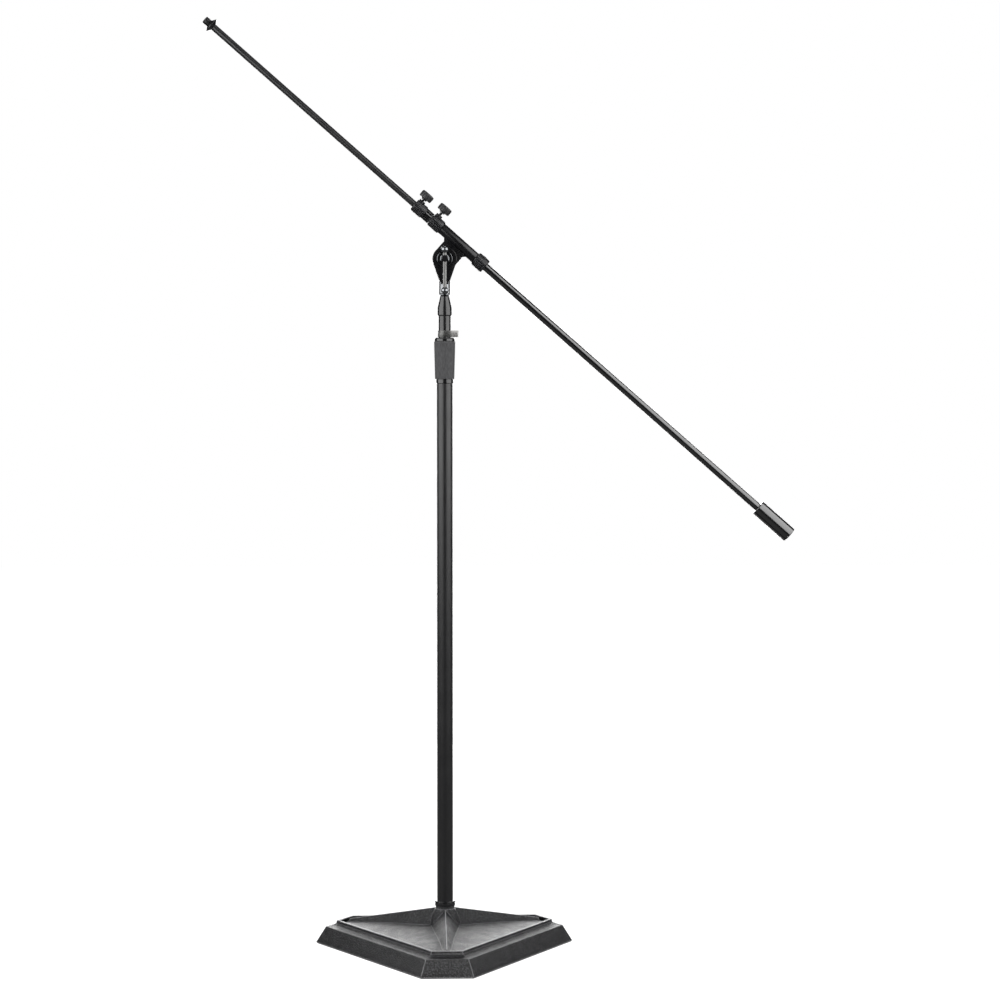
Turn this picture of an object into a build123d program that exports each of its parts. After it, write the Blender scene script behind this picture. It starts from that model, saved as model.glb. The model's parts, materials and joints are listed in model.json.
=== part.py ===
from build123d import *
import os
from math import cos, radians, sin, tan

# Boom microphone stand: a cast three-cornered base, a two-part telescoping column with a twist
# clutch, a swivelling yoke with a tommy-bar screw, and a two-part boom with a counterweight.
# Frame: origin on the column's axis at the floor, +Z up. The boom lies in the XZ plane, with its
# tip towards -X and its counterweight towards +X. One corner of the base points to -Y.
# All sizes are in millimetres.

os.makedirs("parts", exist_ok=True)

# ---- clearances ----
running = 0.05  # radial, between pieces that slide or turn in each other
seated = 0.02  # radial, between a piece and the hole that it is fixed in
air = 0.3  # between moving pieces that must not rub
face_gap = 0.1  # between flat faces that turn or slide on each other

# ---- base casting ----
base_side_radius = 182.0  # column axis to the foot of a long side
base_corner_reach = 92.0  # how much further out the corner faces stand than the long sides
skirt_height = 33.0
skirt_lean = 18.0
shoulder_radius = 3.0
cove_width = 18.0
cove_rise = 6.5
cove_middle_in = 0.58  # where the cove's arc passes, as shares of its width and rise
cove_middle_up = 0.26
rim_step = 5.5
rim_lean = 1.0
rim_width = 5.0
recess_depth = 7.0
recess_rise = 17.0  # the recess floor climbs this much from the rim to the hub
casting_wall = 9.0
solid_corner = 30.0  # depth of the solid metal behind each corner face
floor_under_hub = 6.6  # how far the recess floor runs in under the hub's foot
hub_foot_radius = 33.0
hub_top_wall = 4.5  # iron round the lower tube at the hub's top
hub_height = 31.0
neck_wall = 3.0
neck_height = 5.7
ridge_end_radius = 210.0  # where a ridge's crest stops and its end facet begins
ridge_end_height = 10.0  # crest above the recess floor's edge at that place
ridge_end_run = 14.0  # length of the end facet, seen from above
ridge_hub_slope = 0.87  # half width over height of a ridge at the hub
ridge_end_slope = 1.0  # half width over height of a ridge at its end
ridge_start_inset = 2.7  # how far inside the socket's wall a ridge starts
pad_thickness = 2.0
pad_width = 10.0
pad_inset = 2.0
socket_depth = 44.0
socket_floor = 34.0  # metal under the column's socket
boss_radius = 30.0
roof_corner_reach = 18.0  # how much further the hollow's roof runs to the corners at the boss
lock_ring_wall = 5.0
lock_ring_height = 9.7

# ---- base bolt ----
bolt_radius = 6.0
bolt_head_width = 19.0
bolt_head_height = 7.5
bolt_thread_length = 26.0
washer_radius = 14.0
washer_thickness = 2.5

# ---- column ----
lower_tube_radius = 16.0
lower_tube_wall = 1.5
lower_tube_length = 1130.0
tube_plug_length = 30.0
upper_tube_radius = 12.5
upper_tube_wall = 1.5
column_travel = 600.0
tube_left_inside = 97.7  # upper tube still inside the lower one at full height
bush_length = 30.0
bush_spigot = 20.0

# ---- clutch ----
clutch_ring_height = 8.0
clutch_ring_wall = 1.5
clutch_body_height = 49.0
clutch_below_tube_top = 33.0  # clutch body's lower end below the lower tube's top
thread_wall = 0.9
sleeve_wall = 1.1
collet_height = 40.0
collet_seat_height = 14.0
collet_slit_width = 2.0
grip_gap = 1.0  # between the clutch body's ring and the grip
grip_height = 75.5
grip_foot_wall = 0.95  # rubber over the sleeve
grip_top_wall = 2.95
cap_height = 7.4
cap_overhang = 2.2  # cap beyond the sleeve
cap_skirt = 8.0

# ---- stop collar ----
stop_gap = 1.1
stop_height = 13.0
stop_wall = 1.0
stop_ear_thickness = 2.4
stop_ear_gap = 3.0
stop_ear_reach = 27.0
stop_lip = 1.6
stop_screw_radius = 2.0
stop_knob_radius = 5.6
stop_knob_length = 8.0

# ---- swivel ----
neck_of_upper_tube = 29.3  # upper tube that shows between the stop collar and the cone
cone_foot_radius = 13.5
cone_radius = 14.7
cone_top_radius = 8.5
cone_lip = 2.0
cone_straight = 14.0
cone_taper = 26.0
cone_socket = 24.0
stud_radius = 7.9375  # 5/8 inch thread, which microphone stands share
stud_end_gap = 1.2
flange_radius = 14.3
flange_thickness = 1.2
flange_dish = 1.6
barrel_radius = 11.25
barrel_height = 45.5
barrel_flat_height = 25.5
barrel_bore_depth = 22.0

# ---- yoke ----
pivot_above_barrel = 25.0
cheek_radius = 24.5
cheek_thickness = 5.0
cheek_tail_radius = 12.0
cheek_tail_drop = 38.0
cheek_gap = 16.0  # between the two cheeks
rivet_radius = 2.5
rivet_head = 1.0
rivet_drops = (31.0, 41.0)  # rivets below the pivot
pivot_radius = 5.0
pivot_washer_radius = 15.5
pivot_washer_thickness = 1.4
pivot_washer_ring = 2.6
pivot_washer_raise = 1.0
pivot_collar_radius = 9.0

# ---- clamp screw and tommy bar ----
hub_radius = 6.8
hub_length = 18.0
bar_from_hub_foot = 9.6
bar_radius = 4.1
ball_radius = 7.75
ball_below = 64.0
ball_above = 18.0
nut_width = 17.0
nut_length = 8.0

# ---- boom head ----
boom_elevation = 41.3  # degrees above horizontal, tip end up
boom_offset = 42.0  # pivot to the boom's axis
fin_radius = 24.4
friction_radius = 22.0
friction_thickness = 1.6
friction_gap = 0.4  # friction washer to cheek, with the screw slack
saddle_radius = 11.5
saddle_front = 44.8
saddle_back = 45.4
saddle_root = 5.0  # gusset where the fin meets the saddle
collar_spigot = 12.0
collar_spigot_wall = 1.6
collar_boss_height = 3.6  # clamp boss above its collar
front_collar_length = 27.8
front_collar_radius = 14.0
front_collar_grooves = 22
rear_collar_length = 26.4
rear_collar_radius = 15.0
rear_collar_grooves = 24
collar_chamfer = 1.5
clamp_boss_radius = 7.0
front_screw_from_saddle = 20.2
rear_screw_from_saddle = 13.6
rear_screw_turn = 84.0  # degrees round the boom from the front screw

# ---- boom tubes ----
outer_tube_radius = 8.25
outer_tube_wall = 1.2
outer_tube_back = 841.0  # behind the pivot's foot
neck_gap = 1.0  # between the front collar and the inner clamp's neck
inner_clamp_neck = 17.9
inner_clamp_neck_radius = 12.0
inner_clamp_length = 25.5
inner_clamp_radius = 13.5
inner_clamp_grooves = 28
window_length = 14.0
window_width = 14.0
window_start = 2.0
tube_seat = 15.4
inner_screw_from_front = 8.0
inner_tube_radius = 6.75
inner_tube_wall = 1.2
inner_tube_inside = 60.0
inner_tube_front = 648.0
inner_bush_length = 8.0
inner_bush_spigot = 15.0

# ---- thumbscrews ----
thumb_screw_radius = 3.0
knob_radius = 14.0
knob_height = 14.0
knob_lobes = 8
knob_lobe_radius = 2.6
knob_edge = 1.6
knob_neck_radius = 6.0
knob_neck_height = 2.4
saddle_knob_stem = 5.4  # bare screw between a saddle collar's boss and its knob
inner_knob_stem = 2.6  # the same on the inner clamp

# ---- counterweight ----
weight_radius = 16.0
weight_length = 85.5
weight_edge = 2.0
weight_socket = 38.0  # how far the outer tube goes into the weight
plug_length = 26.0
plug_stud_radius = 4.0
plug_stud_length = 20.0

# ---- boom tip ----
ferrule_flange_radius = 15.5
ferrule_back_cone = 5.0
ferrule_rim = 1.0
ferrule_front_cone = 5.0
ferrule_shoulder_radius = 9.0
ferrule_spigot = 22.0
tip_stud_length = 12.5
tip_stud_chamfer = 0.8
tip_stud_tang_radius = 4.0
tip_stud_tang = 12.0

# ---- sizes that follow from the tubes and the yoke's gap ----
neck_radius = lower_tube_radius + neck_wall
hub_top_radius = lower_tube_radius + hub_top_wall
lock_ring_radius = lower_tube_radius + lock_ring_wall
fin_thickness = cheek_gap - 2 * (friction_thickness + friction_gap)

# ---- heights that follow from these ----
shoulder_z = pad_thickness + skirt_height
rim_z = shoulder_z + cove_rise + rim_step
recess_edge_z = rim_z - recess_depth
hub_foot_z = recess_edge_z + recess_rise
hub_top_z = hub_foot_z + hub_height
lock_ring_z = hub_top_z + neck_height
socket_floor_z = lock_ring_z - socket_depth
boss_z = socket_floor_z - socket_floor
lower_tube_top_z = socket_floor_z + lower_tube_length
upper_tube_foot_z = lower_tube_top_z - tube_left_inside - column_travel
clutch_foot_z = lower_tube_top_z - clutch_below_tube_top
clutch_body_top_z = clutch_foot_z + clutch_body_height
grip_z = clutch_foot_z + clutch_ring_height + grip_gap
cap_z = grip_z + grip_height
cap_top_z = cap_z + cap_height
stop_z = cap_top_z + stop_gap
stop_top_z = stop_z + stop_height
cone_z = stop_top_z + neck_of_upper_tube
cone_height = cone_lip + cone_straight + cone_taper
cone_top_z = cone_z + cone_height
upper_tube_top_z = cone_z + cone_socket
flange_z = cone_top_z + air
barrel_z = flange_z + flange_thickness
barrel_top_z = barrel_z + barrel_height
pivot_z = barrel_top_z + pivot_above_barrel

# ---- depths from the boom's plane that follow from these ----
cheek_inner_y = cheek_gap / 2
cheek_outer_y = cheek_inner_y + cheek_thickness
washer_front_y = cheek_outer_y + pivot_washer_thickness
hub_foot_y = washer_front_y + pivot_washer_raise + face_gap
bar_y = hub_foot_y + bar_from_hub_foot

# ---- places along the boom, towards its tip, from the pivot's foot ----
front_collar_start = saddle_front
front_collar_end = front_collar_start + front_collar_length
front_screw_at = saddle_front + front_screw_from_saddle
rear_collar_start = -saddle_back - rear_collar_length
rear_screw_at = -saddle_back - rear_screw_from_saddle
inner_clamp_start = front_collar_end + neck_gap
knurl_start = inner_clamp_start + inner_clamp_neck
inner_clamp_end = knurl_start + inner_clamp_length
inner_screw_at = inner_clamp_end - inner_screw_from_front
outer_tube_front = inner_clamp_start + tube_seat
weight_front = -outer_tube_back + weight_socket
weight_back = weight_front - weight_length
ferrule_rim_at = inner_tube_front + ferrule_back_cone
shoulder_at = ferrule_rim_at + ferrule_rim + ferrule_front_cone
tip_end = shoulder_at + tip_stud_length

# ---- frames ----
tip_direction = Vector(-cos(radians(boom_elevation)), 0, sin(radians(boom_elevation)))
boom_up = Vector(sin(radians(boom_elevation)), 0, cos(radians(boom_elevation)))
pivot = Vector(0, 0, pivot_z)
# local Z runs along the boom to its tip, local X points away from the pivot, local Y is +Y
boom_frame = Plane(origin=pivot + boom_up * boom_offset, x_dir=boom_up, z_dir=tip_direction)


def save(node, shape):
    """Write one node's solids to its own STEP file."""
    export_step(shape, f"parts/{node}.step")


def turned(points):
    """A turned piece: a closed outline of (radius, height) points, spun about Z."""
    return revolve(Plane.XZ * make_face(Polyline(*points, close=True)), Axis.Z)


def ring(outer, inner, z0, z1):
    """A plain ring or tube length about Z."""
    return turned([(inner, z0), (outer, z0), (outer, z1), (inner, z1)])


def rod(radius, z0, z1):
    """A plain round bar about Z."""
    return Pos(0, 0, (z0 + z1) / 2) * Cylinder(radius, z1 - z0)


def rod_along_y(radius, y0, y1, x=0.0, z=0.0):
    """A plain round bar parallel to Y."""
    return Pos(x, (y0 + y1) / 2, z) * Rot(90, 0, 0) * Cylinder(radius, y1 - y0)


def on_boom(shape):
    """Carry a piece that was made about Z into place on the boom."""
    return boom_frame.location * shape


# ================= base =================


def base_outline(side_radius, corner_radius, z):
    """A triangle with its corners cut off, as a flat face at height z; one corner faces -Y."""
    half_width = (2 * side_radius - corner_radius) * tan(radians(30))
    points = []
    for k in range(3):
        angle = radians(-90 + 120 * k)
        out = Vector(cos(angle), sin(angle))
        along = Vector(-sin(angle), cos(angle))
        for side in (-1, 1):
            points.append(out * corner_radius + along * half_width * side)
    return Pos(0, 0, z) * make_face(Polyline(*[(p.X, p.Y) for p in points], close=True))


def base_side(foot_radius, angle):
    """Everything inside one side's profile: leaning skirt, round shoulder, cove, riser and rim."""
    far_side = -foot_radius * 2
    shoulder_x = foot_radius - skirt_lean
    cove_end = (shoulder_x - cove_width, shoulder_z + cove_rise)
    cove_middle = (shoulder_x - cove_width * cove_middle_in, shoulder_z + cove_rise * cove_middle_up)
    profile = make_face(
        Polyline(
            cove_end,
            (cove_end[0] - rim_lean, rim_z),
            (far_side, rim_z),
            (far_side, pad_thickness),
            (foot_radius, pad_thickness),
            (shoulder_x, shoulder_z),
        )
        + ThreePointArc((shoulder_x, shoulder_z), cove_middle, cove_end)
    )
    profile = fillet(profile.vertices().sort_by(Axis.X)[-2], shoulder_radius)
    return Rot(0, 0, angle) * extrude(Plane.XZ * profile, amount=foot_radius * 2, both=True)


def make_base_casting():
    corner_foot = base_side_radius + base_corner_reach
    body = base_side(base_side_radius, 90)
    for angle in (210, 330):
        body = body & base_side(base_side_radius, angle)
    for angle in (-90, 30, 150):
        body = body & base_side(corner_foot, angle)

    # the recess inside the rim, and its floor, which climbs to the hub
    inset = skirt_lean + cove_width + rim_lean + rim_width
    recess_side = base_side_radius - inset
    recess_corner = recess_side + base_corner_reach
    recess = extrude(base_outline(recess_side, recess_corner, recess_edge_z), amount=rim_step * 4)
    body = body - recess
    small = (hub_foot_radius - floor_under_hub) / recess_side
    floor = loft(
        [
            base_outline(recess_side, recess_corner, recess_edge_z),
            base_outline(recess_side * small, recess_corner * small, hub_foot_z),
        ],
        ruled=True,
    )
    body = body + floor

    # the hollow underneath, with solid corners and a boss round the bolt
    hollow_side = base_side_radius - casting_wall * 1.5
    hollow_corner = base_side_radius + base_corner_reach - solid_corner
    hollow_top = recess_edge_z - casting_wall
    roof = base_outline(hollow_side - skirt_lean, hollow_corner - skirt_lean, hollow_top)
    roof_corner = boss_radius + roof_corner_reach
    roof_peak = base_outline(boss_radius, roof_corner, hollow_top + recess_rise * 0.8)
    hollow = loft([base_outline(hollow_side, hollow_corner, 0), roof], ruled=True)
    hollow = hollow + loft([roof, roof_peak], ruled=True)
    body = body - (hollow - rod(boss_radius, boss_z, rim_z))

    # three ridges from the hub to the corners
    for angle in (0, 120, 240):
        body = body + Rot(0, 0, angle) * ridge()

    # the hub
    foot_drop = recess_rise / 2
    flare = (hub_foot_radius - hub_top_radius) / hub_height
    body = body + turned(
        [
            (0, hub_foot_z - foot_drop),
            (hub_foot_radius + flare * foot_drop, hub_foot_z - foot_drop),
            (hub_top_radius, hub_top_z),
            (neck_radius, hub_top_z),
            (neck_radius, lock_ring_z),
            (0, lock_ring_z),
        ]
    )
    body = body - rod(lower_tube_radius + seated, socket_floor_z, lock_ring_z + 1)
    return body - rod(bolt_radius + air, boss_z - 1, socket_floor_z + 1)


def ridge():
    """One ridge towards -Y: an inverted V that falls to the corner and ends in a small facet."""
    root = recess_edge_z - casting_wall / 2
    start_radius = lower_tube_radius - ridge_start_inset
    crest_start = hub_top_z
    crest_end = recess_edge_z + ridge_end_height
    fall = (crest_start - crest_end) / (ridge_end_radius - hub_top_radius)
    end_radius = ridge_end_radius + ridge_end_run
    high = crest_start + fall * (hub_top_radius - start_radius)
    low = crest_end - fall * ridge_end_run
    sections = []
    for radius, crest, slope in (
        (start_radius, high, ridge_hub_slope),
        (end_radius, low, ridge_end_slope),
    ):
        reach = (crest - root) * slope
        face = make_face(Polyline((-reach, root), (0, crest), (reach, root), close=True))
        sections.append(Plane.XZ.offset(radius) * face)
    body = loft(sections, ruled=True)
    # the end facet runs down from the crest's end to the recess floor
    cutter = make_face(
        Polyline(
            (ridge_end_radius, crest_end),
            (ridge_end_radius, high + 1),
            (end_radius + 1, high + 1),
            (end_radius + 1, recess_edge_z),
            (end_radius, recess_edge_z),
            close=True,
        )
    )
    side_plane = Plane(origin=(0, 0, 0), x_dir=(0, -1, 0), z_dir=(1, 0, 0))
    return body - extrude(side_plane * cutter, amount=base_corner_reach, both=True)


def make_base_pad():
    outer_side = base_side_radius - pad_inset
    outer_corner = outer_side + base_corner_reach
    inner_side = outer_side - pad_width
    inner_corner = inner_side + base_corner_reach
    outer = extrude(base_outline(outer_side, outer_corner, 0), amount=pad_thickness)
    return outer - extrude(base_outline(inner_side, inner_corner, 0), amount=pad_thickness)


def make_lock_ring():
    body = ring(lock_ring_radius, lower_tube_radius + seated, lock_ring_z, lock_ring_z + lock_ring_height)
    return chamfer(body.edges().filter_by(GeomType.CIRCLE).group_by(SortBy.RADIUS)[-1], 1.0)


def make_base_bolt():
    head_z = boss_z - washer_thickness - bolt_head_height
    head = extrude(
        Pos(0, 0, head_z) * RegularPolygon(bolt_head_width / 2, 6, major_radius=False),
        amount=bolt_head_height,
    )
    return head + rod(bolt_radius, head_z, socket_floor_z + bolt_thread_length)


save("base_casting", make_base_casting())
save("base_pad", make_base_pad())
save("base_lock_ring", make_lock_ring())
save("base_bolt", make_base_bolt())
save(
    "base_washer",
    ring(washer_radius, bolt_radius + seated, boss_z - washer_thickness, boss_z),
)

# ================= column =================

lower_tube_bore = lower_tube_radius - lower_tube_wall
upper_tube_bore = upper_tube_radius - upper_tube_wall


def make_guide_bush():
    body = rod(lower_tube_bore - running, upper_tube_foot_z - bush_length, upper_tube_foot_z)
    return body + rod(upper_tube_bore - seated, upper_tube_foot_z, upper_tube_foot_z + bush_spigot)


save("lower_tube", ring(lower_tube_radius, lower_tube_bore, socket_floor_z, lower_tube_top_z))
save(
    "lower_tube_plug",
    ring(
        lower_tube_bore - seated,
        bolt_radius + seated,
        socket_floor_z,
        socket_floor_z + tube_plug_length,
    ),
)
save("upper_tube", ring(upper_tube_radius, upper_tube_bore, upper_tube_foot_z, upper_tube_top_z))
save("guide_bush", make_guide_bush())

# ================= clutch =================

clutch_ring_radius = lower_tube_radius + clutch_ring_wall
clutch_thread_radius = lower_tube_radius + thread_wall
sleeve_bore = clutch_thread_radius + air
sleeve_radius = sleeve_bore + sleeve_wall
grip_foot_radius = sleeve_radius + grip_foot_wall
grip_top_radius = sleeve_radius + grip_top_wall
cap_radius = sleeve_radius + cap_overhang
collet_radius = lower_tube_radius - running * 4
collet_tip_radius = upper_tube_radius + thread_wall
seat_z = clutch_body_top_z - collet_seat_height
collet_top_z = seat_z + collet_height


def make_clutch_body():
    """The ferrule on the lower tube: a chamfered ring, a thread, and a tapered seat."""
    bore = lower_tube_radius + seated
    return turned(
        [
            (bore, clutch_foot_z),
            (clutch_ring_radius - 1, clutch_foot_z),
            (clutch_ring_radius, clutch_foot_z + 1),
            (clutch_ring_radius, clutch_foot_z + clutch_ring_height),
            (clutch_thread_radius, clutch_foot_z + clutch_ring_height),
            (clutch_thread_radius, clutch_body_top_z),
            (collet_radius + running, clutch_body_top_z),
            (collet_tip_radius + running, seat_z),
            (collet_tip_radius + running, lower_tube_top_z + running),
            (bore, lower_tube_top_z + running),
        ]
    )


def make_collet():
    """A split nylon collar whose cone the cap presses into the seat."""
    body = turned(
        [
            (upper_tube_radius + running, seat_z),
            (collet_tip_radius, seat_z),
            (collet_radius, clutch_body_top_z),
            (collet_radius, collet_top_z),
            (upper_tube_radius + running, collet_top_z),
        ]
    )
    slit_height = collet_height * 0.7
    for angle in (0, 90):
        slit = Pos(0, 0, seat_z + slit_height / 2) * Box(
            lower_tube_radius * 3, collet_slit_width, slit_height
        )
        body = body - Rot(0, 0, angle) * slit
    return body


def make_grip():
    body = turned(
        [
            (sleeve_radius, grip_z),
            (grip_foot_radius, grip_z),
            (grip_top_radius, cap_z),
            (sleeve_radius, cap_z),
        ]
    )
    outer_edges = body.edges().filter_by(GeomType.CIRCLE).group_by(SortBy.RADIUS)[-2:]
    return fillet(outer_edges[0] + outer_edges[1], grip_foot_wall * 0.7)


def make_cap():
    bore = upper_tube_radius + air
    return turned(
        [
            (bore, cap_z - cap_skirt),
            (sleeve_bore - seated, cap_z - cap_skirt),
            (sleeve_bore - seated, cap_z),
            (cap_radius, cap_z),
            (cap_radius, cap_top_z - 2),
            (cap_radius - 1.6, cap_top_z),
            (bore, cap_top_z),
        ]
    )


save("clutch_body", make_clutch_body())
save("clutch_collet", make_collet())
save("clutch_sleeve", ring(sleeve_radius, sleeve_bore, grip_z, cap_z))
save("clutch_grip", make_grip())
save("clutch_cap", make_cap())

# ================= stop collar =================

stop_bore = upper_tube_radius + running
stop_radius = stop_bore + stop_wall
ear_front_y = -stop_radius
ear_back_y = ear_front_y + stop_ear_thickness * 2 + stop_ear_gap
stop_screw_x = (stop_radius + stop_ear_reach) / 2
stop_screw_z = stop_z + stop_height / 2


def block(x0, x1, y0, y1, z0, z1):
    """A plain block between two corners."""
    return Pos((x0 + x1) / 2, (y0 + y1) / 2, (z0 + z1) / 2) * Box(x1 - x0, y1 - y0, z1 - z0)


def make_stop_collar():
    """A band with two ears that run off square to the boom's plane, pinched by a small screw."""
    body = ring(stop_radius, stop_bore, stop_z, stop_top_z)
    ears = block(0, stop_ear_reach, ear_front_y, ear_back_y, stop_z, stop_top_z)
    ears = ears + block(
        stop_ear_reach - stop_lip,
        stop_ear_reach,
        ear_front_y - stop_lip,
        ear_front_y + stop_ear_thickness,
        stop_z,
        stop_top_z,
    )
    split_y = ear_front_y + stop_ear_thickness
    slot = block(0, stop_ear_reach + 1, split_y, split_y + stop_ear_gap, stop_z, stop_top_z)
    body = body + ears - rod(stop_bore, stop_z, stop_top_z) - slot
    tapped = rod_along_y(
        stop_screw_radius + running, split_y, ear_back_y + 1, stop_screw_x, stop_screw_z
    )
    seat = rod_along_y(
        stop_screw_radius + running, ear_front_y + 1, split_y, stop_screw_x, stop_screw_z
    )
    return body - tapped - seat


def make_stop_screw():
    shank = rod_along_y(
        stop_screw_radius,
        ear_front_y + 1 + running,
        ear_back_y + face_gap + 1,
        stop_screw_x,
        stop_screw_z,
    )
    knob_start = ear_back_y + face_gap
    knob = rod_along_y(
        stop_knob_radius, knob_start, knob_start + stop_knob_length, stop_screw_x, stop_screw_z
    )
    return shank + chamfer(knob.edges().filter_by(GeomType.CIRCLE), 0.6)


save("stop_collar", make_stop_collar())
save("stop_screw", make_stop_screw())

# ================= swivel =================


def make_cone():
    """The upper tube's head, which narrows to the stud."""
    body = turned(
        [
            (0, cone_z),
            (cone_foot_radius, cone_z),
            (cone_radius, cone_z + cone_lip),
            (cone_radius, cone_z + cone_lip + cone_straight),
            (cone_top_radius, cone_top_z),
            (0, cone_top_z),
        ]
    )
    body = body - rod(upper_tube_radius + seated, cone_z, upper_tube_top_z)
    return body - rod(stud_radius + seated, upper_tube_top_z, cone_top_z)


def make_flange():
    """A thin washer with its edge turned up."""
    bore = stud_radius + running
    edge = flange_radius - flange_dish * 1.6
    return turned(
        [
            (bore, flange_z),
            (edge, flange_z),
            (flange_radius, flange_z - flange_dish * 0.4),
            (flange_radius, flange_z - flange_dish * 0.4 + flange_thickness * 0.7),
            (edge, flange_z + flange_thickness),
            (bore, flange_z + flange_thickness),
        ]
    )


def make_barrel():
    """A chromed sleeve that turns on the stud, flattened at its top for the cheeks."""
    body = rod(barrel_radius, barrel_z, barrel_top_z)
    body = body - rod(stud_radius + running, barrel_z, barrel_z + barrel_bore_depth)
    flat_z = barrel_top_z - barrel_flat_height
    for side in (-1, 1):
        flat = Pos(0, side * (cheek_inner_y + barrel_radius), flat_z + barrel_flat_height)
        body = body - flat * Box(barrel_radius * 3, barrel_radius * 2, barrel_flat_height * 2)
    for drop in rivet_drops:
        body = body - rod_along_y(
            rivet_radius + seated, -barrel_radius, barrel_radius, 0, pivot_z - drop
        )
    return body


def teardrop(y0, y1):
    """The cheeks' teardrop, from one Y to another: a round head with a smaller round tail."""
    head = Circle(cheek_radius)
    tail = Pos(0, -cheek_tail_drop) * Circle(cheek_tail_radius)
    outline = make_hull(head.edges() + tail.edges())
    face = Plane.XZ.offset(-y1) * Pos(0, pivot_z) * outline
    return extrude(face, amount=y1 - y0)


def make_cheek(side):
    y0, y1 = sorted((side * cheek_inner_y, side * cheek_outer_y))
    body = teardrop(y0, y1)
    outer_face = body.faces().sort_by(Axis.Y)[0 if side < 0 else -1]
    body = chamfer(outer_face.edges(), 0.8)
    body = body - rod_along_y(pivot_radius + air, y0, y1, 0, pivot_z)
    for drop in rivet_drops:
        body = body - rod_along_y(rivet_radius + seated, y0, y1, 0, pivot_z - drop)
    return body


def make_rivets():
    rivets = []
    for drop in rivet_drops:
        z = pivot_z - drop
        shank = rod_along_y(rivet_radius, -cheek_outer_y, cheek_outer_y, 0, z)
        for side in (-1, 1):
            y0, y1 = sorted((side * cheek_outer_y, side * (cheek_outer_y + rivet_head)))
            shank = shank + rod_along_y(rivet_radius * 1.7, y0, y1, 0, z)
        rivets.append(shank)
    return Compound(children=rivets)


def facing_front(shape):
    """Carry a piece that was made about Z, upwards from the boom's plane, to point to -Y."""
    return Pos(0, 0, pivot_z) * Rot(90, 0, 0) * shape


def make_pivot_washer():
    """A chromed washer with a raised outer ring and a raised collar in the middle."""
    bore = pivot_radius + air
    top = washer_front_y
    high = top + pivot_washer_raise
    ring_inner = pivot_washer_radius - pivot_washer_ring
    return facing_front(
        turned(
            [
                (bore, cheek_outer_y),
                (pivot_washer_radius, cheek_outer_y),
                (pivot_washer_radius, high - 0.4),
                (pivot_washer_radius - 0.6, high),
                (ring_inner, high),
                (ring_inner, top),
                (pivot_collar_radius, top),
                (pivot_collar_radius - 0.6, high),
                (bore, high),
            ]
        )
    )


def make_clamp_nut():
    body = extrude(
        Pos(0, 0, cheek_outer_y) * RegularPolygon(nut_width / 2, 6, major_radius=False),
        amount=nut_length,
    )
    body = body - rod(pivot_radius + running, cheek_outer_y, cheek_outer_y + nut_length)
    return Pos(0, 0, pivot_z) * Rot(-90, 0, 0) * body


save("swivel_cone", make_cone())
save("swivel_stud", rod(stud_radius, upper_tube_top_z, barrel_z + barrel_bore_depth - stud_end_gap))
save("swivel_flange", make_flange())
save("swivel_barrel", make_barrel())
save("yoke_cheek_front", make_cheek(-1))
save("yoke_cheek_back", make_cheek(1))
save("yoke_rivets", make_rivets())
save("pivot_washer", make_pivot_washer())
save("clamp_nut", make_clamp_nut())

# ================= clamp screw and tommy bar =================


def make_clamp_screw():
    """The pivot screw: a round head with a cross hole for the bar, and a long shank."""
    head = rod(hub_radius, hub_foot_y, hub_foot_y + hub_length)
    head = chamfer(head.edges().sort_by(Axis.Z)[-1], 1.0)
    shank = rod(pivot_radius, -(cheek_outer_y + nut_length + 2), hub_foot_y)
    body = facing_front(head + shank)
    hole = Pos(0, -bar_y, pivot_z) * Cylinder(bar_radius + running, hub_radius * 3)
    return body - hole


def make_bar_balls():
    balls = []
    for z in (pivot_z - ball_below, pivot_z + ball_above):
        balls.append(Pos(0, -bar_y, z) * Sphere(ball_radius))
    bar = make_bar(seated)
    return Compound(children=[ball - bar for ball in balls])


def make_bar(extra=0.0):
    """The sliding bar, whose ends stand a little way inside the balls."""
    inside = ball_radius / 2
    return Pos(0, -bar_y) * rod(
        bar_radius + extra,
        pivot_z - ball_below - inside + bar_radius,
        pivot_z + ball_above + inside - bar_radius,
    )


save("clamp_screw", make_clamp_screw())
save("tommy_bar", make_bar())
save("tommy_bar_balls", make_bar_balls())

# ================= boom head =================


def fin_outline():
    """The fin in the boom's plane: a round foot on the pivot that rises to the saddle."""
    rise = boom_offset
    foot = Pos(-boom_offset, 0) * Circle(fin_radius)
    web = Pos(-rise / 2, 0) * Rectangle(rise, fin_radius * 2)
    return foot + web


def make_boom_bracket():
    """The cast head: a saddle tube for the boom on a fin that turns on the pivot screw."""
    # local X away from the pivot, local Y along the boom, so that the fin is one extrusion
    fin_plane = Plane(origin=boom_frame.origin, x_dir=boom_up, z_dir=(0, -1, 0))
    fin = extrude(fin_plane * fin_outline(), amount=fin_thickness / 2, both=True)
    saddle = on_boom(rod(saddle_radius, -saddle_back, saddle_front))
    body = fin + saddle
    for side in (-1, 1):
        corner = make_face(
            Polyline(
                (-saddle_radius + 1, side * fin_radius),
                (-saddle_radius + 1, side * (fin_radius + saddle_root)),
                (-saddle_radius - saddle_root, side * fin_radius),
                close=True,
            )
        )
        body = body + extrude(fin_plane * corner, amount=fin_thickness / 2, both=True)
    body = body - on_boom(rod(outer_tube_radius + running, -saddle_back, saddle_front))
    for start, end in (
        (-saddle_back, -saddle_back + collar_spigot),
        (saddle_front - collar_spigot, saddle_front),
    ):
        body = body - on_boom(rod(outer_tube_radius + collar_spigot_wall + seated, start, end))
    return body - rod_along_y(pivot_radius + air, -fin_thickness, fin_thickness, 0, pivot_z)


def make_friction_washers():
    inner = fin_thickness / 2
    body = ring(friction_radius, pivot_radius + air, inner, inner + friction_thickness)
    return Compound(children=[facing_front(body), facing_front(Rot(180, 0, 0) * body)])


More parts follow.
